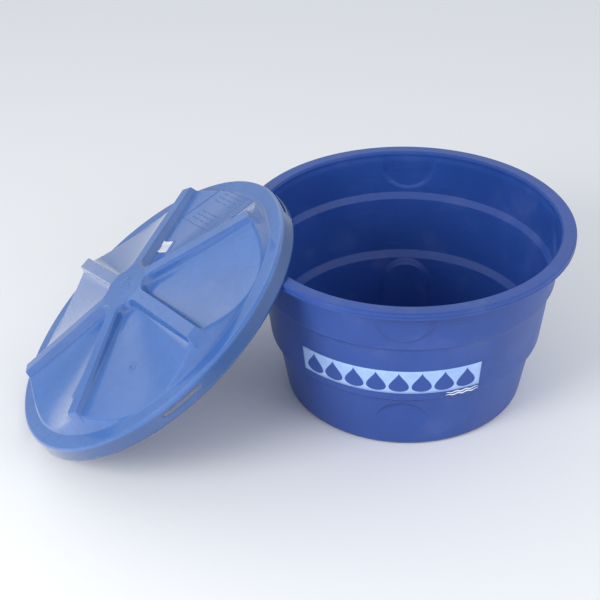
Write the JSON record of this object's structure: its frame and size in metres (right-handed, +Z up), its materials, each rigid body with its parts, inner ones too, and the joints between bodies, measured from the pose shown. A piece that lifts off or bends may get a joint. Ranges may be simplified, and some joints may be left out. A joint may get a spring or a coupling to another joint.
{
  "type": "round stock water tank",
  "caption": "Round three-tier plastic stock water tank with a rolled rim and flat fitting pads, and a loose ribbed lid that leans on the rim and tips up on its edge.",
  "frame": {"origin": "middle of the tank's flat underside, on the ground", "axes": "+Z up along the tank's axis; -X towards the side the lid leans on; +Y completes a right-handed frame"},
  "size_m": [1.7847, 1.0814, 0.6871],
  "materials": {
    "tank_blue": "satin moulded polyethylene",
    "lid_blue": "glossy moulded polyethylene",
    "panel_print": "pale blue printed film",
    "mark_print": "white printed film",
    "label_white": "white paper label"
  },
  "bodies": {
    "tank": {"tank_shell": "tank_blue", "front_panel": "panel_print", "wave_mark": "mark_print"},
    "lid": {"lid_shell": "lid_blue", "lid_label": "label_white"}
  },
  "joints": [
    {"name": "lid_tip", "type": "hinge", "parent": "tank", "child": "lid", "pos_m": [-1.237, 0, 0.00175], "axis": [0, -1, 0], "range_deg": [0, 61.6]}
  ]
}
